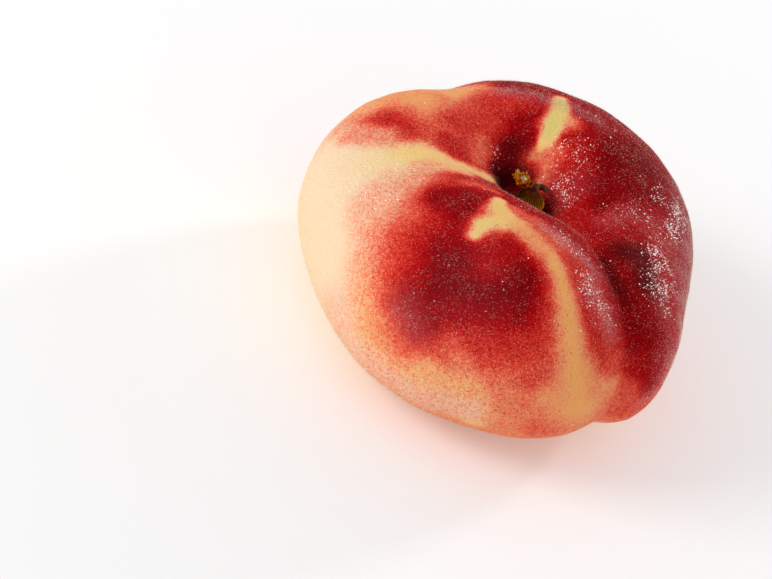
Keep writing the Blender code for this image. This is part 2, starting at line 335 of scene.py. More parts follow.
# %% The marks of the blush, in the order in which they are laid
# A mark is (level, place), and then its softness where that isn't 0.9, and its strength where
# that isn't 1. A patch's place is (azimuth, polar, half width, half height). A streak's is a row
# of knots, each (azimuth, polar, half width). Angles are in degrees, and widths in millimetres.
BLUSH_MARKS = (
    # The hidden back and underside.
    (0.6, (70, 84, 15, 9), 0.9, 0.9),
    (0.93, (112, 66, 14, 9), 0.9, 0.9),
    (0.4, (20, 98, 13, 8), 0.9, 0.9),
    (0.92, (40, 58, 9, 12), 0.9, 0.9),
    (0.2, ((-172, 104, 10), (-145, 112, 11), (-118, 114, 11), (-98, 112, 9))),
    # The ground under the front cheek.
    (0.3, (-70, 104, 30, 12), 0.7),
    (0.03, (-150, 80, 19, 18), 0.6),
    (0.05, (-176, 84, 14, 16), 0.6),
    (0.17, ((-123, 100, 4.5), (-115, 103, 5))),
    (0.21, ((-102, 103, 5), (-89, 100, 4.5), (-80, 96, 3.5))),
    (0.18, (-92, 88, 3.2, 3.2)),
    (0.13, ((-148, 47, 3.6), (-137, 60, 3.2))),
    # Behind the pale flank, and the far crest.
    (0.2, ((178, 66, 6), (162, 66, 7), (150, 55, 7), (136, 50, 6)), 0.7),
    (0.36, ((173, 55, 5), (168, 37, 6), (146, 31, 6))),
    (0.22, ((165, 58, 3), (157, 43, 3.5)), 0.8),
    (0.14, ((157, 45, 2.2), (158, 38, 2.6)), 0.8),
    (0.3, ((150, 36, 1.8), (168, 30, 3)), 0.8, 0.9),
    (0.1, ((141, 43, 2), (135, 44, 1.8)), 0.8, 0.9),
    (0.2, (127, 43, 2.5, 2.5), 0.8, 0.9),
    (0.52, ((177, 52, 2), (174, 46, 3.6), (178, 33, 2.8), (177, 27, 2.2))),
    (0.7, ((176, 47, 2.4), (180, 39, 2.4))),
    # The far wall of the hollow.
    (0.61, ((160, 27, 3), (145, 25, 4), (171, 18, 3.5))),
    (0.68, ((177, 24, 1.8), (-179, 20, 1.8), (-172, 17, 1.6)), 0.8),
    (0.44, ((152, 18, 1.8), (175, 14, 1.8)), 0.9, 0.9),
    (0.62, ((126, 33, 4), (110, 27, 3)), 0.8),
    (0.84, ((112, 21, 3), (121, 16, 3)), 0.8),
    # The pale streak up to the hollow.
    (0.03, ((-166, 69, 6), (-162, 55, 4), (-161, 41, 3), (-165, 31, 2.5), (-164, 25, 1.6))),
    (0.22, ((-153, 32, 2.1), (-156, 24, 2.1), (-153, 18, 1.7))),
    (0.48, ((-133, 22, 1.4), (-129, 18, 1.4), (-117, 17, 0.8)), 0.9, 0.9),
    (0.32, ((-176, 61, 2), (-176, 53, 2.6), (-174, 45, 2.8))),
    (0.1, ((-162, 24, 1.4), (-161, 16, 1.6), (-163, 12, 1.5), (-169, 9, 1.3), (168, 7, 0.8))),
    # Before the hollow.
    (0.46, ((-138, 38, 3), (-125, 48, 3.5)), 0.7),
    (0.85, ((-129, 34, 3.2), (-122, 27, 2.8), (-112, 28, 2.6)), 0.65),
    (0.86, ((-120, 33, 3.4), (-112, 41, 3.5)), 0.8),
    (0.26, ((-140, 58, 4), (-143, 46, 3.4), (-145, 36, 1.8)), 1, 0.9),
    # The front cheek.
    (0.22, ((-127, 65, 5), (-117, 79, 4.5), (-108, 89, 3.5)), 1),
    (0.4, ((-124, 58, 4), (-112, 72, 4), (-104, 85, 3.4)), 1),
    (0.62, ((-116, 51, 5), (-106, 66, 6), (-99, 76, 5), (-87, 71, 6), (-76, 64, 6)), 0.65),
    (0.84, ((-106, 47, 5), (-100, 59, 6), (-86, 51, 7), (-83, 41, 4.5)), 0.7),
    (0.92, ((-103, 51, 3), (-99, 60, 3), (-84, 56, 4.5), (-79, 43, 3)), 0.8),
    (0.74, ((-93, 37, 3), (-92, 44, 2.5)), 0.8, 0.8),
    (0.8, ((-96, 70, 3), (-82, 64, 3.5)), 0.9, 0.8),
    (0.48, ((-90, 79, 3), (-80, 77, 3.5), (-70, 72, 3.2))),
    (0.66, ((-84, 72, 2.6), (-72, 66, 2.6)), 0.9, 0.8),
    (0.22, ((-89, 90, 2.6), (-82, 88, 2.6)), 0.9, 0.9),
    (0.36, ((-75, 85, 2.6), (-69, 89, 2.6)), 1, 0.9),
    (0.46, ((-61, 98, 2.8), (-56, 94, 3))),
    (0.2, (-63, 84, 2.2, 2.2), 0.9, 0.9),
    (0.14, (-77, 105, 1.8, 1.8), 0.9, 0.9),
    # The forked patch, and its streak beside the seam.
    (0.42, ((-106, 21, 1.3), (-104, 27, 2.6), (-103, 34, 2.3)), 1, 0.8),
    (0.42, ((-93, 25, 2.4), (-80, 27, 2.8), (-68, 36, 3), (-64, 53, 3.4), (-60, 67, 4.2)), 1, 0.9),
    (0.04, ((-108, 20, 1.1), (-105, 26, 1.7), (-104, 31, 1.8), (-104, 37, 1.2)), 0.8),
    (0.06, ((-105, 22, 1.4), (-96, 24, 1.8), (-90, 25, 1.4))),
    (0.05, ((-103, 26, 2.4), (-99, 27, 2.1)), 0.8),
    (0.2, ((-90, 26, 1.6), (-81, 28, 1.7), (-73, 32, 1.8)), 0.95),
    (0.09, ((-70, 34, 1.5), (-66, 42, 1.7), (-63, 53, 1.9), (-61, 63, 2.3), (-57, 77, 3.4),
        (-54, 86, 4.8)), 1),
    (0.32, (-86, 83, 2, 2), 0.9, 0.9),
    # The crest beside the seam.
    (0.9, ((-120, 28, 2), (-113, 29, 2)), 0.9, 0.9),
    (0.46, ((-100, 20, 0.8), (-87, 21, 1.2), (-75, 23, 1.8), (-64, 26, 2.2))),
    (0.62, ((-59, 28, 2.2), (-54, 37, 2.5), (-51, 52, 2.4), (-49, 62, 2)), 0.95),
    (0.52, (-47, 70, 2, 2), 0.95),
    (0.26, ((-50, 80, 2.4), (-43, 83, 2))),
    # The right wall of the seam.
    (0.66, (-37, 19, 1.6, 1.6), 0.8),
    (0.86, ((-35, 23, 2.2), (-36, 34, 3), (-37, 49, 3.5), (-36, 60, 3)), 0.8),
    (0.7, ((-37, 73, 2), (-34, 80, 2)), 0.8),
    (0.5, ((-39, 85, 1.6), (-34, 90, 2), (-37, 96, 2))),
    (0.84, ((-32, 76, 2.6), (-30, 85, 2.2)), 0.9, 0.9),
    # The right cheek.
    (0.84, (60, 38, 16, 10), 0.8),
    (0.92, ((55, 15, 5), (41, 28, 5)), 0.8),
    (0.9, ((32, 12, 3), (12, 14, 3), (26, 27, 3)), 0.8),
    (0.8, ((-31, 15, 1.8), (-23, 24, 3.5)), 0.8),
    (0.76, ((-9, 17, 2), (8, 24, 2.6))),
    (0.74, ((9, 34, 2.8), (1, 40, 2.4))),
    (0.85, (12, 27, 1.1, 1.1), 0.8, 0.9),
    (0.8, ((-24, 44, 4), (-28, 57, 4), (-32, 69, 4)), 0.8),
    # The hollow's right wall.
    (0.76, ((75, 15, 3), (54, 9, 2.6), (7, 8, 2.4), (-24, 11, 1.8))),
    (0.66, ((79, 12, 2.2), (51, 5, 2))),
    (0.4, ((93, 9, 1.6), (84, 5, 1.3), (90, 12, 1.8))),
    # The yellow-green ray on the far crest.
    (0.62, ((113, 11, 1.8), (115, 8, 1.6)), 0.8),
    (0.3, ((101, 12, 1.4), (104, 11, 1.2)), 0.8),
    (0.3, (85, 21, 1.6, 1.6)),
    (0.03, ((94, 33, 1.4), (94, 24, 2), (96, 19, 2.1), (98, 15, 1.6), (101, 13, 0.9)), 0.6),
)

# %% The marks of the golden ground
GOLD_MARKS = (
    (0.8, (25, 96, 14, 9), 0.9, 0.9),
    (0.08, ((-172, 104, 10), (-145, 112, 11), (-118, 114, 11), (-98, 112, 9))),
    (0.8, (-80, 92, 26, 14), 0.7),
    (0.05, (-150, 80, 19, 22), 0.6),
    (0.08, (-178, 84, 14, 20), 0.6),
    (0.45, ((-89, 91, 6), (-79, 90, 5)), 0.8),
    (0.85, ((-68, 34, 3), (-64, 57, 4), (-56, 84, 6.5)), 0.8),
    (0, ((-126, 93, 5), (-118, 105, 4.5), (-102, 105, 4.5), (-89, 103, 4), (-79, 99, 3))),
    (0.5, (-92, 88, 3.5, 3.5)),
    (0.5, ((162, 64, 6), (150, 55, 7), (136, 50, 6)), 0.7),
    (0.9, ((160, 48, 4), (156, 36, 5), (138, 39, 4), (128, 39, 3)), 0.7),
    (0.04, ((-163, 70, 7), (-161, 57, 4))),
    (0.1, ((-160, 59, 3.6), (-161, 50, 3.6)), 1),
    (0.24, ((-161, 45, 3.6), (-162, 39, 3.6)), 1, 0.9),
    (0.42, ((-165, 35, 2.8), (-166, 31, 3.4), (-163, 26, 2.8), (-159, 17, 1.8), (-168, 10, 1.4)),
        1),
    (0.42, ((-108, 22, 2.4), (-104, 31, 3.2), (-104, 37, 1.6)), 0.8),
    (0.55, ((-104, 23, 2.6), (-89, 25, 2.6)), 0.8),
    (0.8, ((-84, 28, 2.4), (-72, 32, 2.8))),
    (0.95, (-38, 94, 5, 7), 0.6),
    (0.95, ((-1, 18, 3), (9, 27, 4), (9, 36, 4)), 0.8),
    (0.9, ((96, 15, 2), (104, 10, 2)), 0.7),
    (0.4, ((94, 32, 2.2), (95, 21, 2.8), (98, 15, 2.2)), 0.6),
)

# %% The marks of green flesh, painted shade, bloom with painted sheen, and glint spots
GREEN_MARKS = (
    (0.2, ((-107, 23, 1.8), (-104, 32, 2.4))),
    (0.55, ((94, 28, 1.6), (96, 21, 1.8), (98, 17, 1.4)), 0.8),
    (1, (230, 2, 2.4, 2.4), 0.8),
)
# Painted shade: darkening in the pit round the stub, on the hollow's walls near the pit and on the
# seam's right wall. The mark on the front cheek only makes its red darker.
SHADE_AND_DARK_RED_MARKS = (
    (0.7, ((125, 14, 2.6), (137, 11, 2.6)), 0.8),
    (0.3, ((-106, 72, 3.4), (-100, 76, 3.4))),
    (0.6, ((-38, 26, 1), (-38, 37, 1.7), (-37, 44, 1.2)), 0.8),
    (0.75, ((-26, 26, 2.6), (-17, 32, 2.8), (-27, 40, 2.8))),
    (0.3, ((-33, 46, 2.6), (-34, 59, 2.6))),
    (1, (0, 0.5, 4.6, 4.6), 0.55),
    (0.96, ((120, 7, 2), (160, 8, 2.4), (-160, 5, 2)), 0.8),
)
# Grey-pink haze: partly the skin's own bloom and partly painted sheen of the down, mostly along the
# outlines and the crest beside the seam.
BLOOM_AND_SHEEN_MARKS = (
    (0.55, ((120, 39, 1.6), (110, 34, 1.6), (100, 31, 1.6), (84, 28, 1.8), (73, 27, 1.6))),
    (0.35, ((-106, 75, 2.8), (-100, 79, 2.8))),
    (0.1, ((-96, 51, 6), (-92, 59, 7))),
    (0.6, ((-77, 21, 1.2), (-67, 23, 1.6), (-56, 25, 1.6), (-50, 31, 1.6))),
    (0.55, ((-54, 39, 2.4), (-50, 48, 2.4), (-48, 55, 1.8))),
    (0.28, ((-11, 17, 1.8), (7, 24, 2.2), (8, 34, 2.6), (1, 39, 2))),
    (0.75, ((32, 58, 5), (14, 66, 6.5), (-4, 72, 6.5), (-20, 80, 5)), 1),
    (0.4, ((-18, 45, 2), (-24, 53, 2)), 0.9, 0.8),
    (0.35, (-31, 90, 2, 2)),
    (0.2, ((67, 5, 2), (16, 5, 2), (37, 8, 2.4))),
)
# Spots where the coat gives small glints, and where white glint spikes of painted highlight grow in
# the fuzz.
GLINT_SPOT_MARKS = (
    (1, ((26, 48, 2), (13, 43, 1.6))),
    (0.8, ((-8, 38, 2.4), (-21, 46, 2.8)), 1),
    (0.25, (25, 35, 2.4, 2.4)),
    (0.4, ((63, 7, 3), (31, 6, 2))),
    (0.09, ((1, 18, 2.6), (9, 24, 3), (7, 33, 3.2))),
    (0.01, ((68, 17, 6), (37, 19, 5))),
    (0.22, (74, 12, 3, 3)),
    (0.2, (146, 12, 1.6, 1.6)),
    (0.12, (-150, 52, 5, 5)),
    (0.3, ((-57, 35, 2.2), (-53, 41, 2.4), (-51, 49, 2)), 1),
    (0.18, ((-68, 21, 1.6), (-56, 25, 1.8))),
)

# %% Lay the marks
# Each layer is (marks, level on top, change on the way down, first and last polar of the change).
# The levels lie under the marks, and show where a hidden side has none.
LAYERS = {
    "blush": (BLUSH_MARKS, 0.8, -0.62, 78, 120), "gold": (GOLD_MARKS, 0.35, 0.4, 60, 95),
    "green": (GREEN_MARKS, 0, 0.35, 105, 140), "dark_red_and_painted_shade": (SHADE_AND_DARK_RED_MARKS, 0, 0, 0, 1),
    "bloom_and_painted_sheen": (BLOOM_AND_SHEEN_MARKS, 0, 0, 0, 1), "coat_and_painted_glints": (GLINT_SPOT_MARKS, 0, 0, 0, 1),
}
# The ripples that the marks wander by are (height, wavelength, seed).
WANDER = ((0.00018, 0.0045, 40), (0.00006, 0.0018, 43))
UNEVEN_DEGREES, UNEVEN_WAVELENGTH, UNEVEN_SEED = 8, 0.035, 48


def lay_mark(layer, points, level, place, softness=0.9, strength=1):
    """A layer blended to a level inside a patch or along a streak."""
    mask = (patch if np.ndim(place) == 1 else streak)(points, place, softness)
    return layer + (level - layer) * mask * strength


def lay_marks(points, polar):
    """Each layer's number at each point.

    The hidden sides start deep red above and yellow-orange below the waist, and the marks are
    laid over that. The points wander by a little noise first, so that no edge is a plain curve.
    """
    angle = np.degrees(polar) + UNEVEN_DEGREES * ripple(points, UNEVEN_WAVELENGTH, UNEVEN_SEED)
    wandered = points.copy()
    for height, wavelength, seed in WANDER:
        shift = [ripple(points, wavelength, seed + way) for way in range(3)]
        wandered += height * np.stack(shift, -1)
    layers = {}
    for name, (marks, top, change, first, last) in LAYERS.items():
        layers[name] = top + change * ease(first, last, angle)
        for mark in marks:
            layers[name] = lay_mark(layers[name], wandered, *mark)
    return layers


skin_layers = lay_marks(skin_grid, skin_polar)
for layer_name, layer in skin_layers.items():
    set_value(skin, layer_name, np.concatenate([layer[1:-1].ravel(), layer[0, :1], layer[-1, :1]]))
    print(layer_name, "runs from", layer.min().round(2), "to", layer.max().round(2))

# %% [markdown]
# ## Tools for materials
# A procedural material is a chain of small sums. A recipe holds one chain of nodes and has a
# short call for each kind of step, so that a finish reads from the top down. Colours are written
# as a paint chart shows them (sRGB, 0 to 1) and turned to the linear values that the shader needs.

# %% Node helpers
def paint(red, green, blue):
    """Linear colour of a paint chart's sRGB colour."""
    chart = np.array([red, green, blue])
    linear = np.where(chart <= 0.04045, chart / 12.92, ((chart + 0.055) / 1.055) ** 2.4)
    return (*linear.tolist(), 1.0)


def fill(tree, node, inputs):
    """Gives a node's inputs plain values, or links them to other nodes' sockets."""
    for key, value in inputs.items():
        if isinstance(value, bpy.types.NodeSocket):
            tree.links.new(value, node.inputs[key])
        else:
            node.inputs[key].default_value = value


class Recipe:
    """A tree of nodes, with a short call for each kind of step in it."""

    def __init__(self, tree):
        self.tree = tree

    def node(self, kind, inputs=None, **settings):
        """A shader node with its settings and its inputs."""
        made = self.tree.nodes.new("ShaderNode" + kind)
        for key, value in settings.items():
            setattr(made, key, value)
        fill(self.tree, made, inputs or {})
        return made

    def maths(self, operation, first, second):
        """The result of one sum."""
        return self.node("Math", {0: first, 1: second}, operation=operation).outputs[0]

    plus = partialmethod(maths, "ADD")
    minus = partialmethod(maths, "SUBTRACT")
    times = partialmethod(maths, "MULTIPLY")

    def ease(self, value, low, high, start=0.0, end=1.0):
        """A value that goes from start at low to end at high in a smooth S."""
        inputs = {"Value": value, "From Min": low, "From Max": high, "To Min": start, "To Max": end}
        return self.node("MapRange", inputs, interpolation_type="SMOOTHSTEP").outputs[0]

    def mix(self, share, first, second, blend="MIX"):
        """Two colours blended by a share."""
        inputs = {0: share, 6: first, 7: second}
        return self.node("Mix", inputs, data_type="RGBA", blend_type=blend).outputs[2]

    def colour(self, red, green, blue):
        """A colour from three numbers."""
        return self.node("CombineColor", {0: red, 1: green, 2: blue}).outputs[0]

    def scale(self, value, *stops):
        """Colour read off a scale, whose stops are (position, red, green, blue)."""
        node = self.node("ValToRGB", {0: value})
        scale = node.color_ramp.elements
        for element, (position, *colour) in zip((scale[0], scale[1]), (stops[0], stops[-1])):
            element.position, element.color = position, paint(*colour)
        for position, *colour in stops[1:-1]:
            scale.new(position).color = paint(*colour)
        return node.outputs[0]

    def read(self, name):
        """A mesh's own number for each point."""
        return self.node("Attribute", attribute_name=name).outputs["Fac"]

    def bump(self, height, strength, distance):
        """The surface's direction, tilted by a height in metres of distance."""
        inputs = {"Height": height, "Strength": strength, "Distance": distance}
        return self.node("Bump", inputs).outputs[0]


class Finish(Recipe):
    """A material and its recipe, with plain values set on its Principled shader's own sockets."""

    def __init__(self, name, **values):
        self.material = bpy.data.materials.new(name)
        self.material.use_nodes = True
        super().__init__(self.material.node_tree)
        self.feed(**values)

    def feed(self, **values):
        """Gives the shader's sockets plain values, or links them to results of the recipe."""
        names = {key: key.replace("_", " ").title().replace("Ior", "IOR") for key in values}
        shader = self.tree.nodes["Principled BSDF"]
        fill(self.tree, shader, {names[key]: value for key, value in values.items()})


# %% [markdown]
# ## Grain that every finish shares
# Skin, stalk and scar are all plant tissue: made of cells, with small lumps and faint blots. One
# node group gives that grain to each of them at its own scale. It puts out a fine grain, a slower
# mottle and a pebbled height, and each material decides what to do with them.

# %% The grain group
def make_grain_group():
    """Grain and mottle are fractal noises; pebbles are high in the middle of each Voronoi cell."""
    group = Recipe(bpy.data.node_groups.new("plant_grain", "ShaderNodeTree"))
    labels = {"INPUT": ("Grain scale", "Mottle scale", "Pebble scale"),
              "OUTPUT": ("Grain", "Mottle", "Pebbles")}
    for side, names in labels.items():
        for name in names:
            group.tree.interface.new_socket(name, in_out=side, socket_type="NodeSocketFloat")
    scales = group.tree.nodes.new("NodeGroupInput").outputs
    place = group.node("TexCoord").outputs["Object"]
    grain = group.node("TexNoise", {"Vector": place, "Scale": scales[0], "Detail": 3})
    mottle = group.node("TexNoise", {"Vector": place, "Scale": scales[1], "Detail": 2.5})
    cells = group.node("TexVoronoi", {"Vector": place, "Scale": scales[2]})
    fill(group.tree, group.tree.nodes.new("NodeGroupOutput"), {
        "Grain": group.ease(grain.outputs[0], 0.25, 0.75),
        "Mottle": group.ease(mottle.outputs[0], 0.25, 0.75),
        "Pebbles": group.ease(cells.outputs["Distance"], 0.75, 0),
    })
    return group.tree


PLANT_GRAIN = make_grain_group()


def grain_of(finish, *scales):
    """The group's grain, mottle and pebbles in a finish, of which it uses those it gives scales."""
    node = finish.node("Group", dict(enumerate(scales)), node_tree=PLANT_GRAIN)
    return node.outputs[:len(scales)]


# %% [markdown]
# ## The skin's finish
# Under the fuzz the skin is a thin film over pale flesh. Its red isn't even: pigment sits in
# specks, so a blush thins out into dots, not into pink. The material therefore shakes the blush
# with noise before it picks a colour, and adds fine red dots on golden ground where the blush is
# thin. The soft down on it scatters light at a low angle, which the shader's sheen gives. A faint
# coat on the glint spots makes small white glints. Painted shade darkens the pit and the walls of
# the hollow and the seam, and a grey-pink haze, partly painted sheen, lies along the outlines.

# %% Mix the skin's colours
peel = Finish(
    "peach_skin_finish", sheen_weight=0.06, sheen_roughness=0.25, sheen_tint=paint(1, 0.74, 0.74),
    coat_roughness=0.18, specular_ior_level=0.02, subsurface_weight=0.06, subsurface_scale=0.002,
    subsurface_radius=(1, 0.35, 0.2),
)
blush, gold, green = (peel.read(name) for name in ("blush", "gold", "green"))
grain, mottle, pebbles = grain_of(peel, 5400, 1500, 2300)
ground = peel.scale(gold, (0, 0.97, 0.86, 0.73), (0.35, 0.99, 0.84, 0.56),
                    (0.6, 0.98, 0.76, 0.45), (1, 0.97, 0.64, 0.34))
ground = peel.mix(green, ground, paint(0.84, 0.84, 0.44))

# Noise counts most where the blush is neither full nor absent.
unsure = peel.times(peel.ease(blush, 0, 0.22), peel.ease(blush, 1.1, 0.5, 0.3))
grainy, mottled = peel.minus(grain, 0.5), peel.minus(mottle, 0.5)
shake = peel.plus(peel.times(grainy, 0.44), peel.times(mottled, 0.14))
shaken = peel.plus(blush, peel.times(shake, unsure))
red = peel.scale(
    shaken, (0, 1, 0.7, 0.58), (0.3, 0.97, 0.52, 0.4), (0.52, 0.9, 0.26, 0.2),
    (0.72, 0.74, 0.03, 0.06), (0.88, 0.56, 0, 0.03), (1, 0.38, 0, 0.02))
colour = peel.mix(peel.ease(shaken, 0, 0.42), ground, red)

# %% Dots, painted shade, and bloom with painted sheen
place = peel.node("TexCoord").outputs["Object"]
cells = peel.node("TexVoronoi", {"Vector": place, "Scale": 1900})
dot_size = peel.ease(cells.outputs["Color"], 0.2, 1, 0.08, 0.27)
dot = peel.ease(peel.minus(dot_size, cells.outputs["Distance"]), -0.06, 0.06)
thin_blush = peel.times(peel.ease(blush, 0.03, 0.11), peel.ease(blush, 0.75, 0.4))
dotted = peel.times(thin_blush, peel.ease(gold, 0.1, 0.5, 0, 0.62))
colour = peel.mix(peel.times(dot, dotted), colour, paint(0.78, 0.2, 0.1))
# Painted shade: near black, browner over green flesh, darkens the skin where the layer says.
dark_red_and_shade_colour = peel.mix(green, paint(0.16, 0, 0.01), paint(0.1, 0.03, 0))
colour = peel.mix(peel.times(peel.read("dark_red_and_painted_shade"), 0.96), colour, dark_red_and_shade_colour)
# Grey-pink bloom, partly painted sheen of the down along the outlines and the crest.
bloom_and_painted_sheen = peel.times(peel.read("bloom_and_painted_sheen"), peel.ease(grain, 0.2, 0.9, 0.2, 0.8))
colour = peel.mix(bloom_and_painted_sheen, colour, paint(0.7, 0.38, 0.45))
specks = peel.ease(grain, 0, 1, 0.8, 1.16)
speckled = peel.colour(peel.ease(grain, 0, 1, 0.9, 1.09), specks, specks)
colour = peel.mix(peel.ease(blush, 0, 0.4, 0.35, 1), colour, speckled, "MULTIPLY")

# %% Its roughness, glints and pebbled relief
glints = peel.times(peel.read("coat_and_painted_glints"), peel.ease(pebbles, 0.75, 1, 0, 0.5))
height = peel.plus(pebbles, peel.times(mottle, 0.8))
peel.feed(base_color=colour, roughness=peel.ease(mottle, 0, 1, 0.46, 0.62), coat_weight=glints,
          normal=peel.bump(height, 0.8, 0.0001))
skin.data.materials.append(peel.material)
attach(skin, "root")
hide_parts("fruit")

# %% [markdown]
# ## The stub of the stalk
# When a peach is picked its short stalk tears. What stays is a ribbed knob that sat against the
# fruit, a thin neck, and a crumbled orange tip. The knob and neck are one ribbed tube round a bent
# axis: a profile of radii, with ribs that fan out over the knob. The torn tip opens to a rough cup.

# %% The bent axis and the profile
STUB_FOOT = STALK_POLE + np.array([0, 0, 0.0007])
LEAN_REACH, LEAN_POWER, TIP_HEIGHT = 0.0024, 4.5, 0.0064
# Each station is (height, radius, rib depth) in millimetres, up the outside and down into the cup.
STATIONS = np.array((
    (0, 0.7, 0), (0.5, 1.35, 0.04), (1.4, 1.75, 0.1), (2.2, 2.02, 0.22), (2.7, 2.14, 0.36),
    (3.1, 2.2, 0.44), (3.5, 2.16, 0.44), (4, 2.02, 0.4), (4.5, 1.74, 0.34), (5, 1.36, 0.2),
    (5.5, 1.08, 0.06), (6, 1, 0.04), (6.4, 1.12, 0.03), (6.9, 1.16, 0.03), (6.8, 1.04, 0.02),
    (6.1, 0.88, 0), (6, 0.7, 0), (6.7, 0.4, 0),
)) * MM
RIBS, RIB_SWAY, RIB_SWAYS, RIDGE_POWER, RIDGE_MIDDLE = 28, 0.5, 3, 1.6, 0.4
OUT_OF_ROUND, OUT_OF_ROUND_TURN = 0.05, 1.1
TORN_FROM, TORN_TO, TORN_CRUMB, CRUMB = 5.2 * MM, 6.4 * MM, 0.16, 0.02 * MM
TEETH = ((0.25, 5, 0.7), (0.2, 9, 2), (0.18, 14, 0))
STUB_ROWS, STUB_COLUMNS = 96, 224


def stub_surface(rows, columns):
    """Rings round an axis that leans over by a power of height, and the numbers that colour them.

    A ring's radius is read off the stations, and ribs are a cosine round it, raised to sharp
    ridges. Crumbs, a noise that grows towards the torn tip, roughen the upper part.
    """
    share, turn = steps(rows, columns)
    knots = np.linspace(0, 1, len(STATIONS))
    height, radius, rib = (np.interp(share, knots, STATIONS[:, axis]) for axis in range(3))
    wave = 0.5 + 0.5 * np.cos(RIBS * turn + RIB_SWAY * np.sin(RIB_SWAYS * turn))
    ridges = rib * (wave**RIDGE_POWER - RIDGE_MIDDLE)
    radius = radius + ridges + OUT_OF_ROUND * radius * np.sin(2 * turn + OUT_OF_ROUND_TURN)
    bend = LEAN_REACH * (height / TIP_HEIGHT) ** LEAN_POWER
    points = np.stack([radius * np.cos(turn) - bend, radius * np.sin(turn), height], -1)
    points += STUB_FOOT
    torn = ease(TORN_FROM, TORN_TO, height)
    points[..., 2] += lobes(turn, TEETH) * MM * torn
    crumbs = torn * TORN_CRUMB * MM + CRUMB
    roughen(points, (crumbs, 0.0006, 60), (0.4 * crumbs, 0.00028, 70))
    return points, height / TIP_HEIGHT, wave, share, turn


stub_grid, *stub_values, stub_turn = stub_surface(STUB_ROWS, STUB_COLUMNS)
stub = make_tube("stalk_stub", stub_grid[::-1])
# Painted shade: one side of the stub is darkened.
SHADE_SIDE_FROM, SHADE_SIDE_TO, SHADE_SIDE_TURN = 0.1, -0.7, 0.35
stub_values = *stub_values, ease(SHADE_SIDE_FROM, SHADE_SIDE_TO, np.cos(stub_turn + SHADE_SIDE_TURN))
for value_name, values in zip(("height", "ridge", "inside", "painted_shade_side"), stub_values):
    ends = [values[-1, :1], values[0, :1]]
    set_value(stub, value_name, np.concatenate([values[::-1].ravel(), *ends]))

# %% [markdown]
# ### Torn fibres and the scab
# Fibres stand up from the torn rim. Each is a closed spike with three sides, which is enough for
# something thinner than a hair. A dry brown flap of bark hangs from the neck to the hollow's wall.

# %% Spikes, for fibres and for fuzz
ASKEW = np.array([0.31, 0.52, 0.79])


def spikes(roots, tips, half_widths):
    """Points and triangles of closed spikes: three corners round each root, and its tip."""
    along = unit(tips - roots)
    side = unit(np.cross(along, ASKEW))
    other = np.cross(along, side)
    turn = (2 * np.pi / 3 * np.arange(3))[None, :, None]
    ring = side[:, None] * np.cos(turn) + other[:, None] * np.sin(turn)
    corners = roots[:, None] + half_widths[:, None, None] * ring
    points = np.concatenate([corners, tips[:, None]], 1).reshape(-1, 3)
    shape = np.array([(0, 1, 3), (1, 2, 3), (2, 0, 3), (2, 1, 0)])
    return points, (4 * np.arange(len(roots))[:, None, None] + shape).reshape(-1, 3)


FIBRES, FIBRE_SEED, FIBRE_SPLAY, FIBRE_SPREAD, FIBRE_SINK = 260, 5, 0.5, 0.35, 0.05 * MM
FIBRE_LENGTHS, FIBRE_HALVES, FIBRE_ROWS = (0.25, 0.75), (0.04, 0.10), (2, 14)
random = np.random.default_rng(FIBRE_SEED)
# The fibres root in a few rows beyond the first of the three highest stations.
rim_row = np.argsort(-STATIONS[:, 0])[:3].min() * (STUB_ROWS - 1) // (len(STATIONS) - 1)
fibre_row = rim_row + random.integers(*FIBRE_ROWS, FIBRES)
fibre_root = stub_grid[fibre_row, random.integers(0, STUB_COLUMNS, FIBRES)]
outwards = unit(fibre_root - stub_grid[rim_row].mean(0)) * FIBRE_SPLAY
fibre_way = unit(outwards + np.array([0, 0, 1]) + random.normal(size=(FIBRES, 3)) * FIBRE_SPREAD)
fibre_tip = fibre_root + fibre_way * (random.uniform(*FIBRE_LENGTHS, FIBRES) * MM)[:, None]
fibre_half = random.uniform(*FIBRE_HALVES, FIBRES) * MM
fibre_root = fibre_root - FIBRE_SINK * fibre_way
fibres = make_piece("stalk_fibres", *spikes(fibre_root, fibre_tip, fibre_half))

# %% The scab
SCAB_START, SCAB_END = STUB_FOOT + np.array([-0.9, 0.2, 6.3]) * MM, np.array([4, 5.3, 29.3]) * MM
SCAB_ARCH, SCAB_FACE = 0.35 * MM, np.array([0.25, -0.55, 0.8])
# A half size is (at the ends, added in the middle), in millimetres.
SCAB_WIDE, SCAB_DEEP, SCAB_RAGGED = (0.2, 0.42), (0.05, 0.3), 0.15


def scab_surface(rows, columns):
    """A flat tube along an arc from the neck to the wall.

    Its width and depth are sines of the way along, so both ends are pinched.
    """
    share, turn = steps(rows, columns)
    run = unit(SCAB_END - SCAB_START)
    flat = unit(np.cross(run, SCAB_FACE))
    thick = np.cross(flat, run)
    wide = (SCAB_WIDE[0] + SCAB_WIDE[1] * np.sin(np.pi * share**0.8)) * MM
    wide = wide * (1 + SCAB_RAGGED * np.sin(9 * share + 1))
    deep = (SCAB_DEEP[0] + SCAB_DEEP[1] * np.sin(np.pi * share)) * MM
    arch = (np.sin(np.pi * share) * SCAB_ARCH)[..., None] * thick
    points = SCAB_START + share[..., None] * (SCAB_END - SCAB_START) + arch
    points = points + (wide * np.cos(turn))[..., None] * flat
    points = points + (deep * np.sin(turn))[..., None] * thick
    roughen(points, (0.07 * MM, 0.0011, 80), (0.03 * MM, 0.0004, 90))
    return points


scab = make_tube("stalk_scab", scab_surface(60, 48))

# %% [markdown]
# ### Their finishes
# The knob has dried to a dark olive brown, with yellow ridges. The neck turns orange, and the torn
# inside is bright orange-yellow with a creamy core, as broken wood is. One side of the stub has
# painted shade, near black. The scab is dead bark.

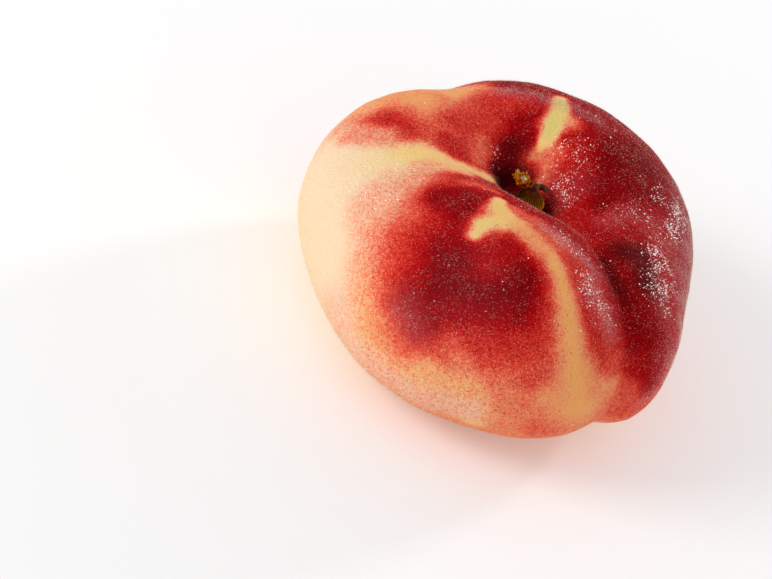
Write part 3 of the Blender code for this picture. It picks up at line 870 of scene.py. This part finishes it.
# %% Colour the stub
knob = Finish("stub_finish", subsurface_weight=0.05, subsurface_scale=0.001, specular_ior_level=0.1)
grain, mottle = grain_of(knob, 5200, 1500)
level = knob.plus(knob.read("height"), knob.times(mottle, 0.06))
rise = knob.scale(
    knob.times(level, 0.92), (0, 0.12, 0.06, 0), (0.37, 0.24, 0.15, 0), (0.68, 0.4, 0.2, 0),
    (0.91, 0.36, 0.12, 0), (0.97, 0.85, 0.32, 0), (1, 1, 0.6, 0))
ribbed = knob.times(knob.ease(knob.read("ridge"), 0.5, 0.95), knob.ease(level, 0.8, 0.5))
colour = knob.mix(ribbed, rise, paint(1, 0.72, 0.05))
# Painted shade darkens one side of the stub below its tip.
painted_shade_side = knob.times(knob.read("painted_shade_side"), knob.ease(level, 0.98, 0.8))
colour = knob.mix(knob.times(painted_shade_side, 0.9), colour, paint(0.12, 0.05, 0.01))
core = knob.ease(knob.read("inside"), 0.93, 0.97)
colour = knob.mix(core, colour, paint(1, 0.88, 0.62))
# Dark gaps between crumbs, partly painted shade: noise darkens the upper stub in spots and lightens
# it in others.
dark_gaps_and_shade = knob.ease(grain, 0.3, 0.5, 0.2, 1.2)
gap_shade_share = knob.ease(level, 0.6, 1, 0.4, 1)
colour = knob.mix(gap_shade_share, colour, knob.colour(dark_gaps_and_shade, dark_gaps_and_shade, dark_gaps_and_shade), "MULTIPLY")
knob.feed(base_color=colour, roughness=knob.ease(mottle, 0, 1, 0.5, 0.8),
          normal=knob.bump(grain, 0.6, 0.00006))

# %% Colour the fibres and the scab
fibre = Finish("fibre_finish", subsurface_weight=0.1, subsurface_scale=0.0005)
grain, mottle = grain_of(fibre, 5200, 1800)
colour = fibre.scale(mottle, (0, 0.5, 0.14, 0), (0.35, 0.92, 0.4, 0),
                     (0.65, 1, 0.7, 0.02), (1, 1, 0.92, 0.5))
fibre.feed(base_color=colour, roughness=fibre.ease(grain, 0, 1, 0.4, 0.7))

bark = Finish("scab_finish", specular_ior_level=0.25)
grain, mottle = grain_of(bark, 4200, 900)
colour = bark.scale(mottle, (0, 0.14, 0.05, 0.02), (0.5, 0.32, 0.15, 0.05),
                    (0.86, 0.5, 0.3, 0.2), (1, 0.32, 0.3, 0.04))
bark.feed(base_color=colour, roughness=bark.ease(grain, 0, 1, 0.35, 0.6),
          normal=bark.bump(grain, 0.7, 0.00008))
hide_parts("stem_stub")
for piece, finish in ((stub, knob), (fibres, fibre), (scab, bark)):
    piece.data.materials.append(finish.material)
    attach(piece, "root")

# %% [markdown]
# ## The fuzz
# A peach is covered with down: hairs a few tenths of a millimetre long and a few hundredths thick.
# Blender's hair would be lost in an export, so the hairs are real spikes in a mesh. They catch the
# light as pale specks over the red and soften the outline. Each is four triangles, and they are
# split into pieces that stay light enough to handle. None grows where the fruit rests or where the
# stub sits.

# %% Scatter roots evenly over the skin
# The skin's normals are the cross product of the grid's two steps. The tiny number keeps a
# direction real at the poles, where the steps have no length.
TINY = 1e-15
STEP_DOWN = np.gradient(skin_grid, axis=0)
STEP_EAST = np.roll(skin_grid, -1, 1) - np.roll(skin_grid, 1, 1)
NORMALS = unit(np.cross(STEP_DOWN, STEP_EAST) + TINY)


def scatter(count, seed, weight):
    """Roots, normals and down directions at random spots, as many to each area as weight says."""
    random = np.random.default_rng(seed)
    down = np.diff(skin_grid, axis=0)
    east = np.roll(skin_grid, -1, 1)[:-1] - skin_grid[:-1]
    share = np.linalg.norm(np.cross(down, east), axis=-1) * weight[:-1]
    total = np.cumsum(share.ravel())
    print("spread over", round(float(total[-1]) * 1e6), "square millimetres")
    cell = np.searchsorted(total, random.uniform(0, total[-1], count))
    row, column = np.divmod(cell, SKIN_COLUMNS)
    after = (column + 1) % SKIN_COLUMNS
    low, right = random.uniform(0, 1, (2, count, 1))

    def between(values):
        upper = values[row, column] * (1 - right) + values[row, after] * right
        lower = values[row + 1, column] * (1 - right) + values[row + 1, after] * right
        return upper * (1 - low) + lower * low

    down_here = unit(between(STEP_DOWN) + TINY)
    redness = skin_layers["blush"][row, column] - 0.5 * skin_layers["bloom_and_painted_sheen"][row, column]
    return between(skin_grid), unit(between(NORMALS)), down_here, redness, random


BARE_BELOW, BARE_ROUND_STUB, UPPER_HALF = 1 * MM, 3.2 * MM, 20 * MM
off_axis = np.linalg.norm(skin_grid[..., :2] - STUB_FOOT[:2], axis=-1)
by_stub = (off_axis < BARE_ROUND_STUB) & (skin_grid[..., 2] > UPPER_HALF)
FUZZY = np.where((skin_grid[..., 2] < BARE_BELOW) | by_stub, 0, 1)
# Hairs stand thicker in tufts. Each ripple of them is (height, low, high, wavelength, seed).
THINNEST, TUFT_RIPPLES = 0.4, ((1, -0.9, 1.1, 0.0050, 51), (0.8, -0.2, 1.4, 0.0018, 52))
TUFTS = sum((height * ease(low, high, ripple(skin_grid, wavelength, seed))
             for height, low, high, wavelength, seed in TUFT_RIPPLES), THINNEST)

# %% Grow the hairs
FUZZ_PIECES = (
    # name, hairs, seed, shortest and longest, half width, lean from the skin's normal
    ("fuzz_fine", 40000, 101, 0.2, 0.45, 0.006, 0.8),
    ("fuzz_pale_a", 28000, 103, 0.12, 0.26, 0.021, 1.8),
    ("fuzz_pale_b", 28000, 104, 0.12, 0.26, 0.021, 1.8),
    ("fuzz_glints", 1500, 105, 0.2, 0.45, 0.066, 2.4),
)
SPREAD, DROOP, LEAST_RISE, FUZZ_SINK = 0.6, 0.25, 0.15, 0.02 * MM
WIDTH_SPREAD, WIDEST = 0.55, 2.5


def grow(name, count, seed, shortest, longest, half, lean, weight):
    """Spikes at scattered roots, each leaning from the normal by a random amount and down.

    None lies flatter than the least rise, and half widths follow a lognormal spread.
    """
    roots, normals, down, redness, random = scatter(count, seed, weight)
    way = unit(normals + lean * (random.normal(size=(count, 3)) * SPREAD + DROOP * down))
    below = np.minimum((way * normals).sum(-1, keepdims=True) - LEAST_RISE, 0)
    way = unit(way - below * normals)
    length = random.uniform(shortest, longest, (count, 1)) * MM
    halves = np.minimum(random.lognormal(0, WIDTH_SPREAD, count), WIDEST) * half * MM
    made = make_piece(name, *spikes(roots - FUZZ_SINK * normals, roots + way * length, halves))
    set_value(made, "blush", np.repeat(redness, 4))
    return made


def fuzz_finish(name, pale, rosy, **values):
    """Down that is pale over pale skin and rosy over the blush, and varies from tuft to tuft."""
    down = Finish(name, **values)
    [grain] = grain_of(down, 1800)
    colour = down.mix(down.ease(down.read("blush"), 0.05, 0.7), paint(*pale), paint(*rosy))
    colour = down.mix(down.ease(grain, 0.3, 1, 0, 0.3), colour, paint(1, 0.97, 0.94))
    down.feed(base_color=colour)
    return down.material


def fuzz_kinds(blush, bloom_and_painted_sheen, dark_red_and_painted_shade, coat_and_painted_glints):
    """For each kind of down, its finish and how thickly it grows at each point."""
    fine = fuzz_finish("fine_down_finish", (1, 0.92, 0.8), (0.66, 0.08, 0.12), roughness=0.6,
                       specular_ior_level=0.1)
    pale = fuzz_finish("pale_down_finish", (1, 0.92, 0.82), (1, 0.78, 0.7), roughness=0.4)
    # Painted highlights: white glint spikes that glow a little, though they are no lamp.
    glints = fuzz_finish("painted_glint_finish", (1, 0.98, 0.96), (1, 0.96, 0.95), roughness=0.18,
                         emission_color=paint(1, 0.97, 0.95), emission_strength=0.35)
    return {
        "fine": (fine, 0.1 + TUFTS * blush),
        # Pale down grows thicker where sheen is painted and thinner where shade is painted.
        "pale": (pale, (0.02 + blush**1.6 + 5 * bloom_and_painted_sheen) * TUFTS * (1 - 0.8 * dark_red_and_painted_shade)),
        "glints": (glints, 0.002 + coat_and_painted_glints * TUFTS),
    }


kinds = fuzz_kinds(*(skin_layers[name] for name in ("blush", "bloom_and_painted_sheen", "dark_red_and_painted_shade", "coat_and_painted_glints")))
for name, *settings in FUZZ_PIECES:
    finish, weight = kinds[name.split("_")[1]]
    hairs = grow(name, *settings, FUZZY * weight)
    hairs.data.materials.append(finish)
    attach(hairs, "root")

# %% [markdown]
# ## The dimple's scar
# Underneath, in the middle of the dimple, a small brown crumpled scar marks where the flower was.
# It is a low dome with a ragged edge and a short dry point, sunk a little in the skin.

# %% Make the scar
SCAR_HALF_DEPTH, SCAR_POINT, SCAR_POINT_RADIUS = 0.3 * MM, 0.55 * MM, 0.35 * MM
SCAR_RADIUS, SCAR_LOBES = 1.25, ((0.18, 5, 1), (0.12, 11, 0), (0.06, 23, 0))


def scar_surface(rings, columns):
    """A lens with a ragged edge: a half turn from the point below, round the rim, to the top."""
    share, turn = steps(rings, columns)
    radius = np.sin(np.pi * (0.03 + 0.94 * share)) * lobes(turn, SCAR_LOBES, SCAR_RADIUS) * MM
    depth = -np.cos(np.pi * share) * SCAR_HALF_DEPTH
    point = -SCAR_POINT * np.exp(-((radius / SCAR_POINT_RADIUS) ** 2)) * (share < 0.5)
    points = np.stack([radius * np.cos(turn), radius * np.sin(turn), depth + point], -1) + BASE_POLE
    roughen(points, (0.05 * MM, 0.0007, 30))
    return points


scar = make_tube("flower_scar", scar_surface(40, 72)[::-1])
scar.data.materials.append(bark.material)
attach(scar, "root")

# %% [markdown]
# ## Floor, light and camera
# The fruit lies on a plain pale floor in soft studio light. The camera stands about 65 cm away with
# a long lens, looks down at the fruit by 37.5 degrees, and is rolled, as in the photograph. Colours
# are shown plainly (the Standard view), because the film-like view would wash out the deep red.

# %% The camera's directions
EYE_HEIGHT, ROLL = math.radians(37.53), math.radians(24.57)
IMAGE_WIDTH, IMAGE_HEIGHT = 772, 579
FRUIT_IN_IMAGE = (491.16, 250.97)
FAR, FOCAL_PIXELS, SENSOR = 0.650, 3731.0, 36.0
back = np.array([0, -math.cos(EYE_HEIGHT), math.sin(EYE_HEIGHT)])
level_right = np.array([1.0, 0, 0])
level_up = np.cross(back, level_right)
right = level_right * math.cos(ROLL) + level_up * math.sin(ROLL)
up = level_up * math.cos(ROLL) - level_right * math.sin(ROLL)
eye = MOVE + FAR * (back - right * (FRUIT_IN_IMAGE[0] - IMAGE_WIDTH / 2) / FOCAL_PIXELS
                    + up * (FRUIT_IN_IMAGE[1] - IMAGE_HEIGHT / 2) / FOCAL_PIXELS)


def turned(sideways, upright, backwards, place):
    """The matrix of an object with these axes at this place."""
    return Matrix([*np.stack([sideways, upright, backwards, place], 1).tolist(), (0, 0, 0, 1)])


camera_data = bpy.data.cameras.new("camera")
camera_data.lens, camera_data.sensor_width = FOCAL_PIXELS / IMAGE_WIDTH * SENSOR, SENSOR
camera_data.clip_start = 0.01
camera = put("camera", camera_data)
camera.matrix_world = turned(right, up, back, eye)
bpy.context.scene.camera = camera

# %% Lights, world and floor
LIGHTS = (
    # name, direction as seen in the picture (right, up, towards the eye), distance, size, watts
    ("key", (-0.8, 0.62, 0.75), 0.8, 0.35, 2.4),
    ("rim", (0.8, 0.45, -0.42), 0.8, 0.1, 1.6),
)
for name, (across, upward, nearer), far, size, watts in LIGHTS:
    lamp = bpy.data.lights.new(name, "AREA")
    lamp.size, lamp.energy = size, watts
    from_fruit = unit(right * across + up * upward + back * nearer)
    sideways = unit(np.cross(np.array([0, 0, 1]), from_fruit))
    upright = np.cross(from_fruit, sideways)
    put(name, lamp).matrix_world = turned(sideways, upright, from_fruit, from_fruit * far)

world = bpy.data.worlds.new("studio")
world.use_nodes = True
sky = world.node_tree.nodes["Background"]
fill(world.node_tree, sky, {"Color": (1, 1, 1, 1), "Strength": 0.61})
bpy.context.scene.world = world
bpy.context.scene.view_settings.view_transform = "Standard"

FLOOR_REACH, FLOOR_DROP = 3, 0.00002
corners = np.array([(-1, -1, 0), (1, -1, 0), (1, 1, 0), (-1, 1, 0)]) * FLOOR_REACH
floor = make_piece("floor", corners - np.array([0, 0, FLOOR_DROP]), np.array([(0, 1, 2, 3)]))
paper = Finish("floor_finish", roughness=0.8, base_color=paint(0.97, 0.97, 0.97),
               emission_color=paint(1, 1, 1), emission_strength=0.16)
floor.data.materials.append(paper.material)
